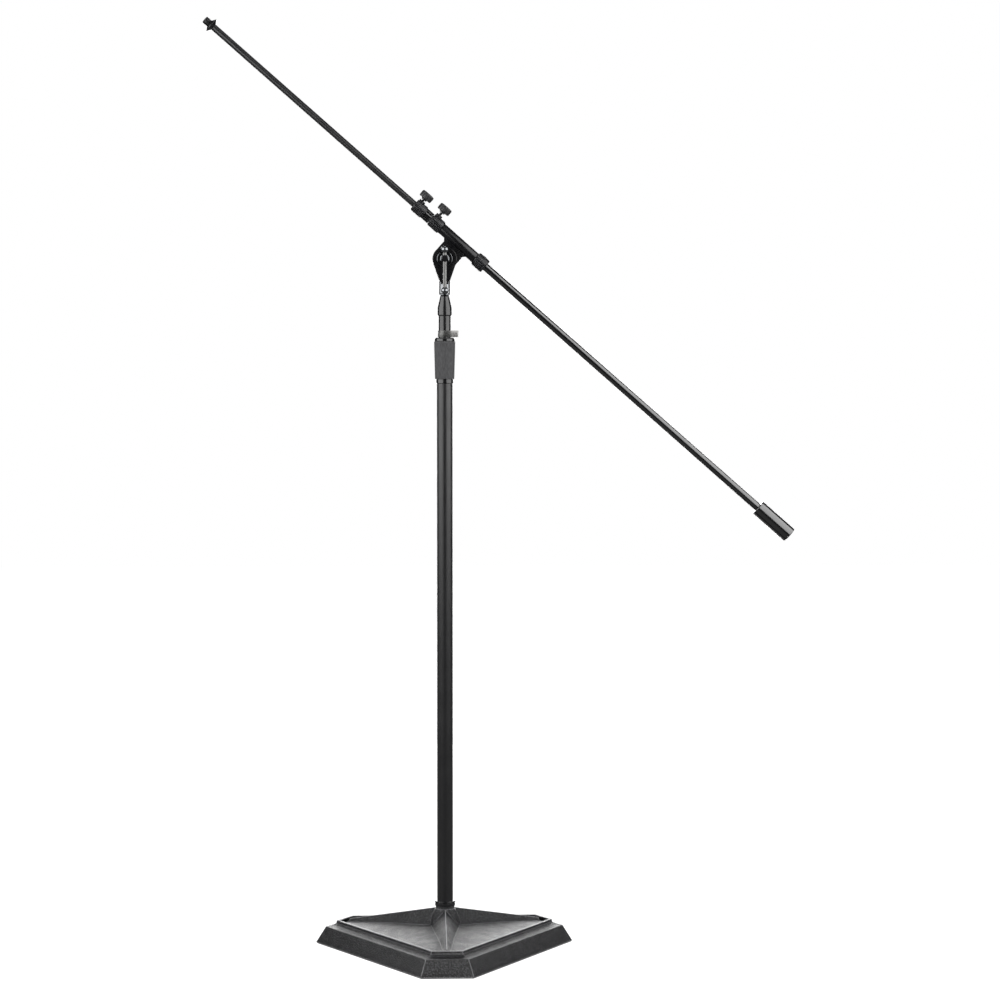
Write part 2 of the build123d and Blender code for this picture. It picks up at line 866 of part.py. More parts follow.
def boss_reach(radius):
    """How far from the boom's axis a clamp boss stands."""
    return radius + collar_boss_height


def screw_hole(body, at, turn, reach):
    """Add a boss for a clamp screw at one place and angle round the boom, and tap it."""
    boss = Pos(reach / 2, 0, at) * Rot(0, 90, 0) * Cylinder(clamp_boss_radius, reach)
    hole = Pos(reach, 0, at) * Rot(0, 90, 0) * Cylinder(thumb_screw_radius + running, reach * 2)
    return body + Rot(0, 0, turn) * boss, Rot(0, 0, turn) * hole


def make_clamp_collar(start, end, spigot_to, radius, screw_at, turn, grooves):
    """A collar on the saddle's end, with a spigot inside it and a boss for its screw."""
    low, high = min(start, end), max(start, end)
    body = rod(radius, low, high)
    body = chamfer(body.edges().filter_by(GeomType.CIRCLE), collar_chamfer)
    for k in range(grooves):
        groove = Pos(radius, 0, (low + high) / 2) * Box(1.0, 1.0, high - low - 6)
        body = body - Rot(0, 0, (k + 0.5) * 360 / grooves) * groove
    body, hole = screw_hole(body, screw_at, turn, boss_reach(radius))
    spigot_low, spigot_high = min(start, spigot_to), max(start, spigot_to)
    body = body + rod(outer_tube_radius + collar_spigot_wall, spigot_low, spigot_high)
    bore = rod(outer_tube_radius + running, low - collar_spigot * 2, high + collar_spigot * 2)
    return on_boom(body - bore - hole)


def make_knob():
    """A moulded knob about Z, its neck at Z 0: shallow finger lobes round a flat disc."""
    body = rod(knob_radius, knob_neck_height, knob_neck_height + knob_height)
    for k in range(knob_lobes):
        scallop = Pos(knob_radius + knob_lobe_radius * 0.55, 0, knob_neck_height + knob_height / 2)
        cut = scallop * Cylinder(knob_lobe_radius, knob_height)
        body = body - Rot(0, 0, (k + 0.5) * 360 / knob_lobes) * cut
    body = chamfer(body.edges().group_by(Axis.Z)[-1], knob_edge)
    body = chamfer(body.edges().group_by(Axis.Z)[0], knob_edge)
    body = body + rod(knob_neck_radius, 0, knob_neck_height)
    return body - rod(thumb_screw_radius + seated, 0, knob_neck_height + knob_height / 2)


def place_screw(shape, at, turn, height):
    """Carry a piece made about Z to a clamp boss, standing out from the boom."""
    return on_boom(Rot(0, 0, turn) * Pos(height, 0, at) * Rot(0, 90, 0) * shape)


def make_thumbscrew(name, at, turn, collar_radius, tube_radius, stem):
    """One thumbscrew: the steel screw and its moulded knob."""
    foot = boss_reach(collar_radius) + stem
    tip = tube_radius + air
    steel = rod(thumb_screw_radius, tip - foot, knob_neck_height + knob_height / 2)
    save(f"{name}_screw", place_screw(steel, at, turn, foot))
    save(f"{name}_knob", place_screw(make_knob(), at, turn, foot))


save("boom_bracket", make_boom_bracket())
save("friction_washers", make_friction_washers())
save(
    "front_collar",
    make_clamp_collar(
        front_collar_start,
        front_collar_end,
        saddle_front - collar_spigot,
        front_collar_radius,
        front_screw_at,
        0,
        front_collar_grooves,
    ),
)
save(
    "rear_collar",
    make_clamp_collar(
        -saddle_back,
        rear_collar_start,
        -saddle_back + collar_spigot,
        rear_collar_radius,
        rear_screw_at,
        rear_screw_turn,
        rear_collar_grooves,
    ),
)
make_thumbscrew(
    "front", front_screw_at, 0, front_collar_radius, outer_tube_radius, saddle_knob_stem
)
make_thumbscrew(
    "rear", rear_screw_at, rear_screw_turn, rear_collar_radius, outer_tube_radius, saddle_knob_stem
)

# ================= outer boom =================

outer_tube_bore = outer_tube_radius - outer_tube_wall
inner_boss_radius = inner_clamp_radius - 1.1


def make_inner_clamp():
    """The clamp on the outer tube's end: a windowed neck, then a grooved nose with its boss."""
    body = turned(
        [
            (0, inner_clamp_start),
            (inner_clamp_neck_radius, inner_clamp_start),
            (inner_clamp_neck_radius, knurl_start),
            (inner_clamp_radius, knurl_start),
            (inner_clamp_radius, inner_clamp_end - collar_chamfer),
            (inner_clamp_radius - collar_chamfer, inner_clamp_end),
            (0, inner_clamp_end),
        ]
    )
    for k in range(inner_clamp_grooves):
        groove = Pos(inner_clamp_radius, 0, (knurl_start + inner_clamp_end) / 2)
        cut = groove * Box(0.9, 0.9, inner_clamp_length - 5)
        body = body - Rot(0, 0, (k + 0.5) * 360 / inner_clamp_grooves) * cut
    body, hole = screw_hole(body, inner_screw_at, 0, boss_reach(inner_boss_radius))
    body = body - rod(outer_tube_radius + seated, inner_clamp_start, outer_tube_front)
    body = body - rod(inner_tube_radius + running, inner_clamp_start, inner_clamp_end)
    for side in (-1, 1):
        window = Pos(
            0,
            side * inner_clamp_neck_radius,
            inner_clamp_start + window_start + window_length / 2,
        )
        body = body - window * Box(window_width, inner_clamp_neck_radius, window_length)
    return on_boom(body - hole)


def make_counterweight():
    body = rod(weight_radius, weight_back, weight_front)
    body = fillet(body.edges().filter_by(GeomType.CIRCLE), weight_edge)
    body = body - rod(outer_tube_radius + seated, -outer_tube_back, weight_front)
    stud_end = -outer_tube_back - plug_stud_length
    return on_boom(body - rod(plug_stud_radius + seated, stud_end - 1, weight_front))


def make_weight_plug():
    body = rod(outer_tube_bore - seated, -outer_tube_back, -outer_tube_back + plug_length)
    return on_boom(
        body + rod(plug_stud_radius, -outer_tube_back - plug_stud_length, -outer_tube_back)
    )


save(
    "outer_boom_tube",
    on_boom(ring(outer_tube_radius, outer_tube_bore, -outer_tube_back, outer_tube_front)),
)
save("inner_clamp", make_inner_clamp())
save("counterweight", make_counterweight())
save("counterweight_plug", make_weight_plug())
make_thumbscrew("inner", inner_screw_at, 0, inner_boss_radius, inner_tube_radius, inner_knob_stem)

# ================= inner boom =================

inner_tube_bore = inner_tube_radius - inner_tube_wall


def make_inner_bush():
    """A nylon plug on the inner tube's end that guides it in the outer tube."""
    body = rod(
        outer_tube_bore - running, -inner_tube_inside - inner_bush_length, -inner_tube_inside
    )
    return on_boom(
        body
        + rod(inner_tube_bore - seated, -inner_tube_inside, -inner_tube_inside + inner_bush_spigot)
    )


def make_ferrule():
    """The tip's turned end: a spigot in the tube, a thin flange, and a shoulder."""
    body = turned(
        [
            (0, inner_tube_front - ferrule_spigot),
            (inner_tube_bore - seated, inner_tube_front - ferrule_spigot),
            (inner_tube_bore - seated, inner_tube_front),
            (inner_tube_radius + 0.6, inner_tube_front),
            (ferrule_flange_radius, ferrule_rim_at),
            (ferrule_flange_radius, ferrule_rim_at + ferrule_rim),
            (ferrule_shoulder_radius, shoulder_at),
            (0, shoulder_at),
        ]
    )
    return on_boom(body - rod(tip_stud_tang_radius + seated, shoulder_at - tip_stud_tang, shoulder_at))


def make_tip_stud():
    body = rod(stud_radius, shoulder_at, tip_end)
    body = chamfer(body.edges().sort_by(Axis.Z)[-1], tip_stud_chamfer)
    return on_boom(body + rod(tip_stud_tang_radius, shoulder_at - tip_stud_tang, shoulder_at))


save(
    "inner_boom_tube",
    on_boom(ring(inner_tube_radius, inner_tube_bore, -inner_tube_inside, inner_tube_front)),
)
save("inner_bush", make_inner_bush())
save("tip_ferrule", make_ferrule())
save("tip_stud", make_tip_stud())
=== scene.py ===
import json
import math

import bmesh
import bpy
from mathutils import Matrix, Vector


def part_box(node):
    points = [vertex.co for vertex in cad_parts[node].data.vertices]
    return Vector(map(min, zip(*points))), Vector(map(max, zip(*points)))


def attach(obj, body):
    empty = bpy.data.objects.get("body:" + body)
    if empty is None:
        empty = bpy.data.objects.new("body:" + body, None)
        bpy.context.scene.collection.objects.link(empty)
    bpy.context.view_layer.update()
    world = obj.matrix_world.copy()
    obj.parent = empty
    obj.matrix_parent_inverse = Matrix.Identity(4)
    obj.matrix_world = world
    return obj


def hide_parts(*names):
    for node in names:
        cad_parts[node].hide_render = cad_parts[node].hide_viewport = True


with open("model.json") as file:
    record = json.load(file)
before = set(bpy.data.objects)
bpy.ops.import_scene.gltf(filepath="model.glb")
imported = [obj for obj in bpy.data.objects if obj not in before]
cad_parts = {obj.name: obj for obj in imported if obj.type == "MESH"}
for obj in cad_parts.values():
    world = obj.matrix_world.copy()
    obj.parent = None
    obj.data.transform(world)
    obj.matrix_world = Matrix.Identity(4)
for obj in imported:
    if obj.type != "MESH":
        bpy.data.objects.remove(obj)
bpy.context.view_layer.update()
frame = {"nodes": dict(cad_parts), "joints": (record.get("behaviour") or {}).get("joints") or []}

# ---------------------------------------------------------------------------
# The studio: a white sweep that carries on behind the stand, with a broad soft
# wall of light on each side, both starting at waist height, and a panel above.
# The camera stands low and far off, as a long lens does for a slim stand.
# ---------------------------------------------------------------------------


def colour(hex_text):
    """An sRGB hex colour as the linear RGBA that a shader takes."""
    parts = [int(hex_text[i : i + 2], 16) / 255 for i in (1, 3, 5)]
    return tuple(c / 12.92 if c <= 0.04045 else ((c + 0.055) / 1.055) ** 2.4 for c in parts) + (1.0,)


def add_node(tree, kind, settings=(), links=()):
    """Add one shader node with its settings, and link its inputs to other nodes' outputs."""
    node = tree.nodes.new(kind)
    for name, value in settings:
        if isinstance(name, str) and name not in node.inputs:
            setattr(node, name, value)
        else:
            node.inputs[name].default_value = value
    for name, socket in links:
        tree.links.new(socket, node.inputs[name])
    return node


def softbox(name, place, target, width, height, watts):
    """One soft rectangular lamp that faces a target and isn't seen by the camera itself."""
    lamp = bpy.data.lights.new(name, "AREA")
    lamp.shape = "RECTANGLE"
    lamp.size, lamp.size_y = width, height
    lamp.energy = watts
    holder = bpy.data.objects.new(name, lamp)
    holder.location = place
    holder.rotation_euler = (Vector(target) - Vector(place)).to_track_quat("-Z", "Y").to_euler()
    holder.visible_camera = False
    bpy.context.scene.collection.objects.link(holder)


wall_height = 2.3
for name, side in (("wall_left", -1), ("wall_right", 1)):
    softbox(name, (2.2 * side, -1.27, wall_height), (0, 0, wall_height), 3.8, 3.0, 155)
softbox("sweep_behind", (0, 3.2, 1.3), (0, 0, 1.0), 3.2, 2.6, 125)
softbox("panel_above", (0, 0.2, 4.4), (0, 0, 0.6), 2.4, 2.4, 22)

sweep = bpy.data.worlds.new("white_sweep")
sweep.use_nodes = True
bpy.context.scene.world = sweep
sky = sweep.node_tree
sky.nodes.clear()
ray = add_node(sky, "ShaderNodeLightPath")
strength = add_node(
    sky,
    "ShaderNodeMapRange",
    [("To Min", 0.04), ("To Max", 1.0)],
    [("Value", ray.outputs["Is Camera Ray"])],
)
white = add_node(
    sky,
    "ShaderNodeBackground",
    [("Color", colour("#FFFFFF"))],
    [("Strength", strength.outputs["Result"])],
)
add_node(sky, "ShaderNodeOutputWorld", links=[("Surface", white.outputs[0])])
bpy.context.scene.view_settings.view_transform = "Standard"

camera_data = bpy.data.cameras.new("camera")
camera_data.sensor_width = 36.0
camera_data.lens = 104.4
camera = bpy.data.objects.new("camera", camera_data)
camera.location = (-0.0923, -5.8223, 1.157)
camera.rotation_euler = (math.radians(90 - 2.4), 0, math.radians(-2.0))
bpy.context.scene.collection.objects.link(camera)
bpy.context.scene.camera = camera

floor_bm = bmesh.new()
bmesh.ops.create_grid(floor_bm, x_segments=1, y_segments=1, size=12)
floor_mesh = bpy.data.meshes.new("floor")
floor_bm.to_mesh(floor_mesh)
floor_bm.free()
floor = bpy.data.objects.new("floor", floor_mesh)
bpy.context.scene.collection.objects.link(floor)
# seamless white paper that shows as pure white but throws little light back up at the stand
paper = bpy.data.materials.new("white_paper")
paper.use_nodes = True
paper_tree = paper.node_tree
paper_shader = paper_tree.nodes["Principled BSDF"]
paper_shader.inputs["Base Color"].default_value = colour("#6E6E6E")
paper_shader.inputs["Roughness"].default_value = 0.9
paper_shader.inputs["Emission Color"].default_value = colour("#FFFFFF")
paper_ray = add_node(paper_tree, "ShaderNodeLightPath")
paper_tree.links.new(paper_ray.outputs["Is Camera Ray"], paper_shader.inputs["Emission Strength"])
floor_mesh.materials.append(paper)

# ---------------------------------------------------------------------------
# Base casting: sand-cast iron, hollow underneath, with three ridges and a hub.
# Its corners are rounded as cast, and it wears a gritty textured powder coat.
# ---------------------------------------------------------------------------


def new_material(name, base, metallic, roughness, **more):
    """A material whose Principled shader holds the finish's constant values."""
    material = bpy.data.materials.new(name)
    material.use_nodes = True
    shader = material.node_tree.nodes["Principled BSDF"]
    shader.inputs["Base Color"].default_value = colour(base)
    shader.inputs["Metallic"].default_value = metallic
    shader.inputs["Roughness"].default_value = roughness
    for socket, value in more.items():
        shader.inputs[socket.replace("_", " ")].default_value = value
    place = add_node(material.node_tree, "ShaderNodeTexCoord").outputs["Object"]
    return material, material.node_tree, shader, place


def speckle(tree, shader, place, size_mm, dark, light, low=0.35, high=0.65):
    """Two tones in a fine random grain on the shader's colour; gives back the grain."""
    grain = add_node(
        tree,
        "ShaderNodeTexNoise",
        [("Scale", 1000 / size_mm), ("Detail", 3.0), ("Roughness", 0.6)],
        [("Vector", place)],
    )
    tone = add_node(
        tree,
        "ShaderNodeMapRange",
        [("From Min", low), ("From Max", high)],
        [("Value", grain.outputs["Fac"])],
    )
    tones = add_node(
        tree,
        "ShaderNodeMix",
        [("data_type", "RGBA"), (6, colour(dark)), (7, colour(light))],
        [(0, tone.outputs["Result"])],
    )
    tree.links.new(tones.outputs[2], shader.inputs["Base Color"])
    return grain.outputs["Fac"]


def uneven(tree, shader, place, size_mm, smooth, dull):
    """Roughness that drifts between two values in soft patches; gives back the patches."""
    patches = add_node(
        tree,
        "ShaderNodeTexNoise",
        [("Scale", 1000 / size_mm), ("Detail", 2.0)],
        [("Vector", place)],
    )
    drift = add_node(
        tree,
        "ShaderNodeMapRange",
        [("From Min", 0.3), ("From Max", 0.7), ("To Min", smooth), ("To Max", dull)],
        [("Value", patches.outputs["Fac"])],
    )
    tree.links.new(drift.outputs["Result"], shader.inputs["Roughness"])
    return patches.outputs["Fac"]


def relief(tree, shader, layers):
    """Bump from one or more (height, depth in mm, strength) layers, each over the last."""
    below = None
    for height, depth, amount in layers:
        links = [("Height", height)] + ([("Normal", below)] if below else [])
        bump = add_node(
            tree, "ShaderNodeBump", [("Strength", amount), ("Distance", depth / 1000)], links
        )
        below = bump.outputs["Normal"]
    tree.links.new(below, shader.inputs["Normal"])


def painted_edge_highlights_and_corner_shade(tree, shader, radius_mm, edge_highlight_tone, level):
    """Paint highlights on outer edges by lightening the colour there, and paint shade into inner corners by
    darkening the colour and taking the sheen down.
    """
    rounded = add_node(tree, "ShaderNodeBevel", [("samples", 6), ("Radius", radius_mm / 1000)])
    own = add_node(tree, "ShaderNodeNewGeometry")
    agree = add_node(
        tree,
        "ShaderNodeVectorMath",
        [("operation", "DOT_PRODUCT")],
        [(0, rounded.outputs[0]), (1, own.outputs["Normal"])],
    )
    edge = add_node(
        tree,
        "ShaderNodeMapRange",
        [("From Min", 0.995), ("From Max", 0.93)],
        [("Value", agree.outputs["Value"])],
    )
    hollow = add_node(
        tree,
        "ShaderNodeAmbientOcclusion",
        [("samples", 6), ("Distance", 5 * radius_mm / 1000)],
        [("Color", shader.inputs["Base Color"].links[0].from_socket)],
    )
    open_air = add_node(
        tree,
        "ShaderNodeMapRange",
        [("From Min", 0.7), ("From Max", 0.95), ("To Max", 1.0)],
        [("Value", hollow.outputs["AO"])],
    )
    # painted highlight: the mask of outer edges out in the open, where the colour is lightened
    painted_highlight = add_node(
        tree,
        "ShaderNodeMath",
        [("operation", "MULTIPLY")],
        [(0, edge.outputs["Result"]), (1, open_air.outputs["Result"])],
    )
    # the colour, darkened by the AO as painted shade in inner corners and lightened as a painted highlight
    # on edges
    tones = add_node(
        tree,
        "ShaderNodeMix",
        [("data_type", "RGBA"), (7, colour(edge_highlight_tone))],
        [(0, painted_highlight.outputs[0]), (6, hollow.outputs["Color"])],
    )
    tree.links.new(tones.outputs[2], shader.inputs["Base Color"])
    # painted shade: the sheen taken down in inner corners
    sheen_shaded_in_corners = add_node(
        tree,
        "ShaderNodeMapRange",
        [("From Min", 0.45), ("From Max", 0.95), ("To Max", level)],
        [("Value", hollow.outputs["AO"])],
    )
    tree.links.new(sheen_shaded_in_corners.outputs["Result"], shader.inputs["Specular IOR Level"])


def link_object(name, bm):
    """Turn a bmesh into a smooth shaded object at the origin."""
    for face in bm.faces:
        face.smooth = True
    mesh = bpy.data.meshes.new(name)
    bm.to_mesh(mesh)
    bm.free()
    piece = bpy.data.objects.new(name, mesh)
    bpy.context.scene.collection.objects.link(piece)
    return piece


def fit(piece, body, nodes, material, edge_mm=0.4, segments=3, angle=28):
    """Give a piece its finish and rounded edges, and put it in its CAD nodes' place."""
    piece.data.materials.append(material)
    if edge_mm:
        bevel = piece.modifiers.new("edge_radius", "BEVEL")
        bevel.width = edge_mm / 1000
        bevel.segments = segments
        bevel.limit_method = "ANGLE"
        bevel.angle_limit = math.radians(angle)
        bevel.harden_normals = True
        bevel.miter_outer = "MITER_ARC"
    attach(piece, body)
    for node in nodes:
        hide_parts(node)
    return piece


def softened(node, body, material, edge_mm, segments=3, angle=28):
    """A finished copy of a CAD node: merged, its flats made whole, and its edges rounded."""
    bm = bmesh.new()
    bm.from_mesh(frame["nodes"][node].data)
    bmesh.ops.remove_doubles(bm, verts=bm.verts, dist=2e-6)
    bmesh.ops.dissolve_limit(
        bm, angle_limit=math.radians(0.5), verts=bm.verts, edges=bm.edges, use_dissolve_boundaries=False
    )
    return fit(
        link_object(node + "_finished", bm), body, [node], material, edge_mm, segments, angle
    )


# textured powder coat on sand-cast iron: black nibs over a cast surface that rolls every 24 mm or so, with
# painted highlights that lighten its outer edges to grey and painted shade that darkens its inner corners.
# True nibs are under a millimetre; they are drawn 3 mm wide, so that they show at the distance the whole
# stand is seen from
coated_iron, tree, shader, place = new_material("powder_coated_cast_iron", "#161617", 0.0, 0.4)
grit = speckle(tree, shader, place, 3.0, "#040405", "#38383A", 0.47, 0.62)
patches = uneven(tree, shader, place, 24.0, 0.34, 0.48)
relief(tree, shader, [(patches, 0.5, 0.5), (grit, 2.2, 1.0)])
# painted highlights on the outer edges in #A6A6A8, and painted shade in the inner corners
painted_edge_highlights_and_corner_shade(tree, shader, 3.0, "#A6A6A8", 0.38)
softened("base_casting", "stand", coated_iron, 2.2)

# ---------------------------------------------------------------------------
# Base pad: a strip of moulded rubber glued round the underside, so that the iron
# doesn't mark the floor. It is dull black, with a faint bloom.
# ---------------------------------------------------------------------------

# moulded rubber: very rough, close to black, with a fine cloudy bloom
pad_rubber, tree, shader, place = new_material("moulded_pad_rubber", "#0E0E0E", 0.0, 0.85)
bloom = speckle(tree, shader, place, 3.0, "#0B0B0B", "#161616")
relief(tree, shader, [(bloom, 0.15, 0.8)])
softened("base_pad", "stand", pad_rubber, 0.4)

# ---------------------------------------------------------------------------
# Base bolt, its washer and the tube's tapped plug: zinc-plated steel from the
# screw rack. The bolt pulls the column down into the casting's socket.
# ---------------------------------------------------------------------------

# zinc plating: a pale grey satin with slightly blotchy crystals and fine machining lines
zinc, tree, shader, place = new_material("zinc_plated_steel", "#B4B6B9", 1.0, 0.34)
spangle = speckle(tree, shader, place, 2.2, "#A2A4A8", "#C2C4C6")
uneven(tree, shader, place, 6.0, 0.28, 0.42)
relief(tree, shader, [(spangle, 0.03, 0.6)])
softened("base_bolt", "stand", zinc, 0.5)
softened("base_washer", "stand", zinc, 0.4)
softened("lower_tube_plug", "stand", zinc, 0.4)

# ---------------------------------------------------------------------------
# Lock ring: a turned steel ring on the hub's neck, blackened, with a slightly
# wider lip at its top where it meets the column.
# ---------------------------------------------------------------------------


def spun(outline, steps=96):
    """A turned piece about Z: a closed outline of (radius, height) in millimetres, spun round."""
    bm = bmesh.new()
    corners = [bm.verts.new((r / 1000, 0, z / 1000)) for r, z in outline]
    for first, second in zip(corners, corners[1:] + corners[:1]):
        if first.co.x > 1e-9 or second.co.x > 1e-9:
            bm.edges.new((first, second))
    bmesh.ops.spin(
        bm,
        geom=bm.verts[:] + bm.edges[:],
        cent=(0, 0, 0),
        axis=(0, 0, 1),
        angle=math.tau,
        steps=steps,
        use_merge=True,
    )
    bmesh.ops.remove_doubles(bm, verts=bm.verts, dist=1e-7)
    bmesh.ops.recalc_face_normals(bm, faces=bm.faces)
    return bm


def turned_size(node, place=Matrix()):
    """A turned CAD node's radius, foot and top in mm, once its place is undone and it stands on Z."""
    upright = place.inverted()
    spots = [upright @ vertex.co for vertex in frame["nodes"][node].data.vertices]
    heights = [spot.z * 1000 for spot in spots]
    return max(spot.xy.length for spot in spots) * 1000, min(heights), max(heights)


# blackened steel, turned: satin black with fine tool rings round the axis
black_steel, tree, shader, place = new_material("blackened_turned_steel", "#121213", 0.0, 0.2)
squeezed = add_node(
    tree, "ShaderNodeMapping", [("Scale", (60, 60, 2600))], [("Vector", place)]
)
rings = add_node(
    tree, "ShaderNodeTexNoise", [("Scale", 1.0), ("Detail", 2.0)], [("Vector", squeezed.outputs[0])]
)
uneven(tree, shader, place, 9.0, 0.13, 0.21)
relief(tree, shader, [(rings.outputs["Fac"], 0.02, 0.5)])

slip = 0.02
column_radius, column_foot, column_top = turned_size("lower_tube")
lip, foot, top = turned_size("base_lock_ring")
side, waist = lip - 0.7, lip - 1.3
lock_ring = spun(
    [
        (column_radius + slip, foot), (side, foot), (side, foot + 5.5), (waist, foot + 5.9),
        (waist, top - 3.4), (lip, top - 2.8), (lip, top - 1.0), (lip - 0.8, top),
        (column_radius + slip, top),
    ]
)
fit(link_object("lock_ring", lock_ring), "stand", ["base_lock_ring"], black_steel, 0.35)

# ---------------------------------------------------------------------------
# Lower tube: drawn steel, 32 mm across, in smooth black powder coat. It stands
# in the casting's socket and carries the clutch at its top.
# ---------------------------------------------------------------------------


def tube(radius, bore, z0, z1, steps=96):
    """A plain tube about Z, in millimetres."""
    return spun([(bore, z0), (radius, z0), (radius, z1), (bore, z1)], steps)


# smooth powder coat on drawn tube: satin, with the faint orange peel such a coat dries to
tube_coat, tree, shader, place = new_material("powder_coated_tube", "#131314", 0.0, 0.34)
peel = speckle(tree, shader, place, 2.4, "#111112", "#19191A")
uneven(tree, shader, place, 30.0, 0.31, 0.38)
relief(tree, shader, [(peel, 0.05, 0.7)])
column_wall = 1.5
fit(
    link_object(
        "lower_column_tube", tube(column_radius, column_radius - column_wall, column_foot, column_top)
    ),
    "stand", ["lower_tube"], tube_coat, 0.3,
)

# ---------------------------------------------------------------------------
# Twist clutch: a blackened ferrule on the tube, a split nylon collar, a steel
# sleeve inside a tapered rubber grip, and a turned cap that closes its top.
# ---------------------------------------------------------------------------

# natural nylon: milky, a little translucent to the eye, with a soft sheen
nylon, tree, shader, place = new_material("natural_nylon", "#D9D4C6", 0.0, 0.45)
cloud = speckle(tree, shader, place, 5.0, "#D2CCBC", "#E0DCCF")
relief(tree, shader, [(cloud, 0.05, 0.4)])
softened("clutch_collet", "stand", nylon, 0.3)

ring, foot, top = turned_size("clutch_body")
ring_top, shank, bore = foot + 8.0, ring - 0.6, column_radius - 2.55
tube_seat = column_top + 0.05
ferrule = spun(
    [
        (column_radius + slip, foot), (ring - 1.0, foot), (ring, foot + 1.0), (ring, ring_top),
        (shank, ring_top), (shank, top), (column_radius - 0.15, top), (bore, column_top + 2.0),
        (bore, tube_seat), (column_radius + slip, tube_seat),
    ]
)
fit(link_object("clutch_ferrule", ferrule), "stand", ["clutch_body"], black_steel, 0.25)
softened("clutch_sleeve", "clutch", black_steel, 0.3)

# moulded grip rubber: matte dark grey with faint lengthwise streaks
grip_rubber, tree, shader, place = new_material(
    "moulded_grip_rubber", "#424243", 0.0, 0.7, Specular_IOR_Level=0.2
)
drawn_out = add_node(tree, "ShaderNodeMapping", [("Scale", (1, 1, 0.16))], [("Vector", place)])
streaks = speckle(tree, shader, drawn_out.outputs[0], 1.5, "#39393A", "#4A4A4B")
relief(tree, shader, [(streaks, 0.1, 0.8)])
sleeve, foot, grip_top = turned_size("clutch_sleeve")
# how thick the rubber is over the sleeve, and how high above its foot
rubber = [
    (0.6, 0.0), (0.95, 0.9), (1.2, 4.3), (1.25, 5.3), (1.7, 24.3), (2.2, 43.3), (2.65, 60.3),
    (2.8, 70.3), (2.9, 71.3), (2.95, 74.3), (2.6, 75.3), (1.9, 75.5),
]
ribs, rib_depth, ribbed_from, ribbed_to = 72, 0.09, foot + 4.8, foot + 70.8
grip = spun(
    [(sleeve, foot)]
    + [(sleeve + thick, foot + height) for thick, height in rubber]
    + [(sleeve, grip_top)],
    6 * ribs,
)
for vertex in grip.verts:
    reach = vertex.co.xy.length
    if reach * 1000 > sleeve + 1.1 and ribbed_from < vertex.co.z * 1000 < ribbed_to:
        groove = 0.5 - 0.5 * math.cos(ribs * math.atan2(vertex.co.y, vertex.co.x))
        vertex.co.xy *= 1 - rib_depth / 1000 * groove / reach
fit(link_object("ribbed_grip", grip), "clutch", ["clutch_grip"], grip_rubber, 0)

sliding_radius, sliding_foot, sliding_top = turned_size("upper_tube")
rim, foot, top = turned_size("clutch_cap")
mouth, spigot, brim = sliding_radius + 0.3, sleeve - 1.12, grip_top + 0.1
cap = spun(
    [
        (mouth, foot), (spigot, foot), (spigot, brim), (rim - 0.4, brim), (rim, brim + 0.4),
        (rim, top - 2.2), (rim - 1.6, top), (mouth + 0.8, top), (mouth, top - 0.8),
    ]
)
fit(link_object("clutch_cap_ring", cap), "clutch", ["clutch_cap"], black_steel, 0.5)

# ---------------------------------------------------------------------------
# Upper tube: drawn steel, 25 mm across, ground smooth under a thin black coat so
# that it slides well. A nylon bush on its foot guides it inside the lower tube.
# ---------------------------------------------------------------------------

# thin smooth black coat: glossier than the lower tube, with hair-fine grinding marks round it
sliding_coat, tree, shader, place = new_material("smooth_black_coat", "#0F0F10", 0.0, 0.22)
ground = add_node(tree, "ShaderNodeMapping", [("Scale", (80, 80, 1500))], [("Vector", place)])
marks = add_node(
    tree, "ShaderNodeTexNoise", [("Scale", 1.0), ("Detail", 3.0)], [("Vector", ground.outputs[0])]
)
uneven(tree, shader, place, 18.0, 0.19, 0.27)
relief(tree, shader, [(marks.outputs["Fac"], 0.01, 0.5)])
fit(
    link_object(
        "upper_column_tube",
        tube(sliding_radius, sliding_radius - column_wall, sliding_foot, sliding_top),
    ),
    "upper_column", ["upper_tube"], sliding_coat, 0.3,
)
softened("guide_bush", "upper_column", nylon, 0.4)

# ---------------------------------------------------------------------------
# Stop collar: a bent band of plated steel strip whose two ears are pinched by a
# small screw, so that the boom can be brought back to the same height.
# ---------------------------------------------------------------------------

# dull nickel on pressed strip: dark grey round the tube, with a painted highlight on the pinched ears, which
# are coloured lighter grey
nickel, tree, shader, place = new_material("nickel_plated_strip", "#565655", 1.0, 0.42)
grain = speckle(tree, shader, place, 2.6, "#4C4C4B", "#5E5E5D")
uneven(tree, shader, place, 7.0, 0.38, 0.48)
relief(tree, shader, [(grain, 0.03, 0.5)])
across = add_node(tree, "ShaderNodeSeparateXYZ", links=[("Vector", place)])
painted_ear_highlight_mask = add_node(
    tree,
    "ShaderNodeMapRange",
    [("From Min", 0.009), ("From Max", 0.015)],
    [("Value", across.outputs["X"])],
)
# painted highlight: the ears, from 9 mm out along X, coloured lighter grey
painted_highlight = add_node(
    tree,
    "ShaderNodeMix",
    [("data_type", "RGBA"), (7, colour("#A09F9D"))],
    [(0, painted_ear_highlight_mask.outputs["Result"]), (6, shader.inputs["Base Color"].links[0].from_socket)],
)
tree.links.new(painted_highlight.outputs[2], shader.inputs["Base Color"])
softened("stop_collar", "stop_collar", nickel, 0.4)
softened("stop_screw", "stop_screw", black_steel, 0.4)

# ---------------------------------------------------------------------------
# Swivel: a turned steel cone that crowns the upper tube, its threaded stud, and
# the chromed flange and barrel that turn on it and carry the yoke.
# ---------------------------------------------------------------------------

stud_radius, stud_foot, stud_top = turned_size("swivel_stud")
skirt, foot, top = turned_size("swivel_cone")
cone = spun(
    [
        (sliding_radius + slip, foot), (skirt - 1.2, foot), (skirt, foot + 2.0), (skirt, foot + 16.0),
        (skirt - 0.5, foot + 18.4), (9.3, top - 3.0), (8.5, top), (stud_radius + slip, top),
        (stud_radius + slip, sliding_top), (sliding_radius + slip, sliding_top),
    ]
)
fit(
    link_object("swivel_cone_turned", cone),
    "upper_column", ["swivel_cone"], black_steel, 0.45,
)


